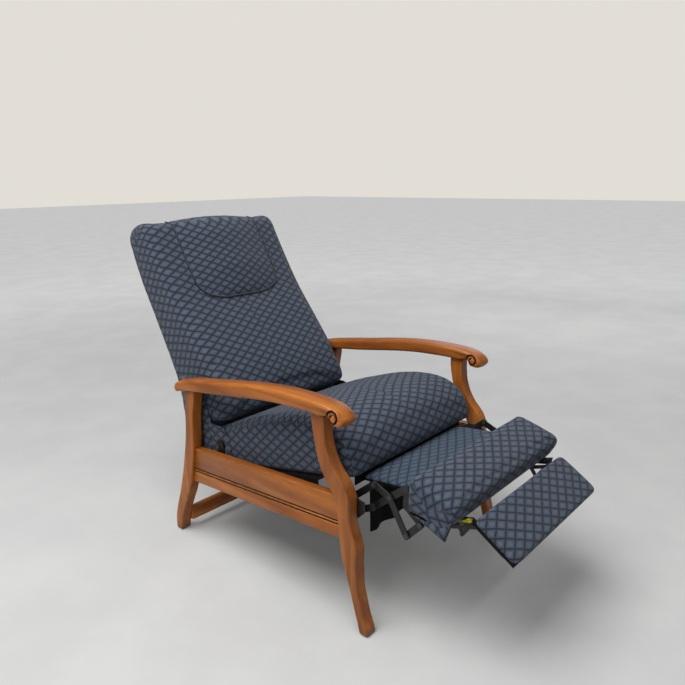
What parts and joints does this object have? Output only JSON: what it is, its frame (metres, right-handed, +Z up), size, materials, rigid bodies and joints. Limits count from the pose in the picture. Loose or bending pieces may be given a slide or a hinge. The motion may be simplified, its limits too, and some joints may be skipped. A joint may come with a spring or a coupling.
{
  "type": "push-back recliner chair",
  "caption": "Open-arm hardwood recliner with scrolled armrests, upholstered seat and reclining back, and a folding legrest with flip-out panel on flat-bar links",
  "frame": {"origin": "on the floor, midway between the left and right sides and midway between the front and rear ends of the drawn pose", "axes": "X to the sitter's left, Y to the rear, Z up"},
  "size_m": [0.688, 1.3744, 0.9767],
  "materials": {
    "hardwood": "orange-brown lacquered hardwood, satin gloss, visible grain",
    "pine": "unfinished pale softwood",
    "board": "plywood board, dark stained edges",
    "chenille": "blue-grey heathered woven chenille with navy diagonal lattice",
    "flap_cloth": "blue-grey woven cloth over thin foam",
    "panel_cloth": "blue-grey woven cloth stretched over a board",
    "dust_cloth": "thin black non-woven cloth",
    "curtain_cloth": "thin black cloth",
    "black_steel": "black painted flat bar, satin",
    "bright_steel": "zinc plated fasteners",
    "spring_steel": "plain spring wire",
    "yellow_zinc": "yellow chromate zinc plate",
    "glide": "dark brown nylon"
  },
  "bodies": {
    "frame": {"left_front_leg": "hardwood", "right_front_leg": "hardwood", "left_rear_leg": "hardwood", "right_rear_leg": "hardwood", "left_armrest": "hardwood", "right_armrest": "hardwood", "left_side_rail": "hardwood", "right_side_rail": "hardwood", "foot_glides": "glide", "rear_stretcher": "hardwood", "front_cross_rail": "pine", "rear_cross_rail": "pine", "seat_cushion": "chenille", "seat_frame_rails": "pine", "dust_cover": "dust_cloth", "seat_springs": "spring_steel", "left_seat_angle": "black_steel", "right_seat_angle": "black_steel", "seat_spacers": "bright_steel", "left_frame_hinge_plate": "black_steel", "right_frame_hinge_plate": "black_steel", "left_base_plate": "black_steel", "right_base_plate": "black_steel", "base_studs": "bright_steel", "base_bolts": "bright_steel"},
    "back": {"back_cushion": "chenille", "head_pillow": "chenille", "back_frame_rails": "pine", "back_panel": "panel_cloth", "left_back_hinge_plate": "black_steel", "right_back_hinge_plate": "black_steel", "back_bolts": "bright_steel"},
    "drive_links": {"left_drive_link": "black_steel", "right_drive_link": "black_steel"},
    "cross_links": {"left_cross_link": "black_steel", "right_cross_link": "black_steel", "cross_rivets": "bright_steel"},
    "long_links": {"left_long_link": "black_steel", "right_long_link": "black_steel"},
    "end_links": {"left_end_link": "black_steel", "right_end_link": "black_steel"},
    "stay_links": {"left_stay_link": "black_steel", "right_stay_link": "black_steel"},
    "legrest": {"legrest_pad": "chenille", "legrest_board": "board", "left_legrest_bracket": "black_steel", "right_legrest_bracket": "black_steel", "legrest_ears": "black_steel", "legrest_rivets": "bright_steel"},
    "flipper_arms": {"left_flipper_arm": "black_steel", "right_flipper_arm": "black_steel"},
    "flipper": {"flipper_pad": "chenille", "flipper_board": "board", "left_flipper_bracket": "black_steel", "right_flipper_bracket": "black_steel"},
    "control_links": {"control_links": "yellow_zinc"},
    "filler": {"filler_pad": "flap_cloth", "filler_board": "board", "filler_ears": "black_steel", "front_curtain": "curtain_cloth"}
  },
  "joints": [
    {"name": "back_recline", "type": "hinge", "parent": "frame", "child": "back", "pos_m": [0, 0.25021, 0.33], "axis": [-1, 0, 0], "range_deg": [-14, 8]},
    {"name": "legrest_fold", "type": "hinge", "parent": "frame", "child": "drive_links", "pos_m": [0, -0.26889, 0.3393], "axis": [1, 0, 0], "range_deg": [0, 189.85]},
    {"name": "cross_link_turn", "type": "hinge", "parent": "drive_links", "child": "cross_links", "pos_m": [0, -0.32279, 0.384], "axis": [1, 0, 0], "range_deg": [-139.9, 0.05]},
    {"name": "long_link_turn", "type": "hinge", "parent": "cross_links", "child": "long_links", "pos_m": [0, -0.36979, 0.364], "axis": [1, 0, 0], "range_deg": [-35.04, 0.05]},
    {"name": "end_link_turn", "type": "hinge", "parent": "cross_links", "child": "end_links", "pos_m": [0, -0.41979, 0.28], "axis": [1, 0, 0], "range_deg": [-46.46, 0.05]},
    {"name": "legrest_turn", "type": "hinge", "parent": "end_links", "child": "legrest", "pos_m": [0, -0.4558, 0.32], "axis": [1, 0, 0], "range_deg": [-0.05, 54.46]},
    {"name": "stay_link_turn", "type": "hinge", "parent": "frame", "child": "stay_links", "pos_m": [0, -0.24139, 0.2857], "axis": [1, 0, 0], "range_deg": [-0.05, 168.98]},
    {"name": "filler_turn", "type": "hinge", "parent": "legrest", "child": "filler", "pos_m": [0, -0.4158, 0.372], "axis": [1, 0, 0], "range_deg": [-45.05, 0.05]},
    {"name": "flipper_arm_turn", "type": "hinge", "parent": "legrest", "child": "flipper_arms", "pos_m": [0, -0.49979, 0.312], "axis": [1, 0, 0], "range_deg": [-0.05, 35.05]},
    {"name": "flipper_turn", "type": "hinge", "parent": "flipper_arms", "child": "flipper", "pos_m": [0, -0.57579, 0.338], "axis": [1, 0, 0], "range_deg": [-0.05, 122.05]},
    {"name": "control_link_turn", "type": "hinge", "parent": "legrest", "child": "control_links", "pos_m": [0, -0.53099, 0.2983], "axis": [1, 0, 0], "range_deg": [-0.05, 68.28]}
  ],
  "couplings": [
    {"joint": "cross_link_turn", "follows": "legrest_fold", "ratio": -0.73663},
    {"joint": "long_link_turn", "follows": "legrest_fold", "ratio": -0.1843},
    {"joint": "end_link_turn", "follows": "legrest_fold", "ratio": -0.24446},
    {"joint": "legrest_turn", "follows": "legrest_fold", "ratio": 0.28659},
    {"joint": "stay_link_turn", "follows": "legrest_fold", "ratio": 0.88983},
    {"joint": "filler_turn", "follows": "legrest_fold", "ratio": -0.23703},
    {"joint": "flipper_arm_turn", "follows": "legrest_fold", "ratio": 0.18436},
    {"joint": "flipper_turn", "follows": "legrest_fold", "ratio": 0.64261},
    {"joint": "control_link_turn", "follows": "legrest_fold", "ratio": 0.3594}
  ]
}
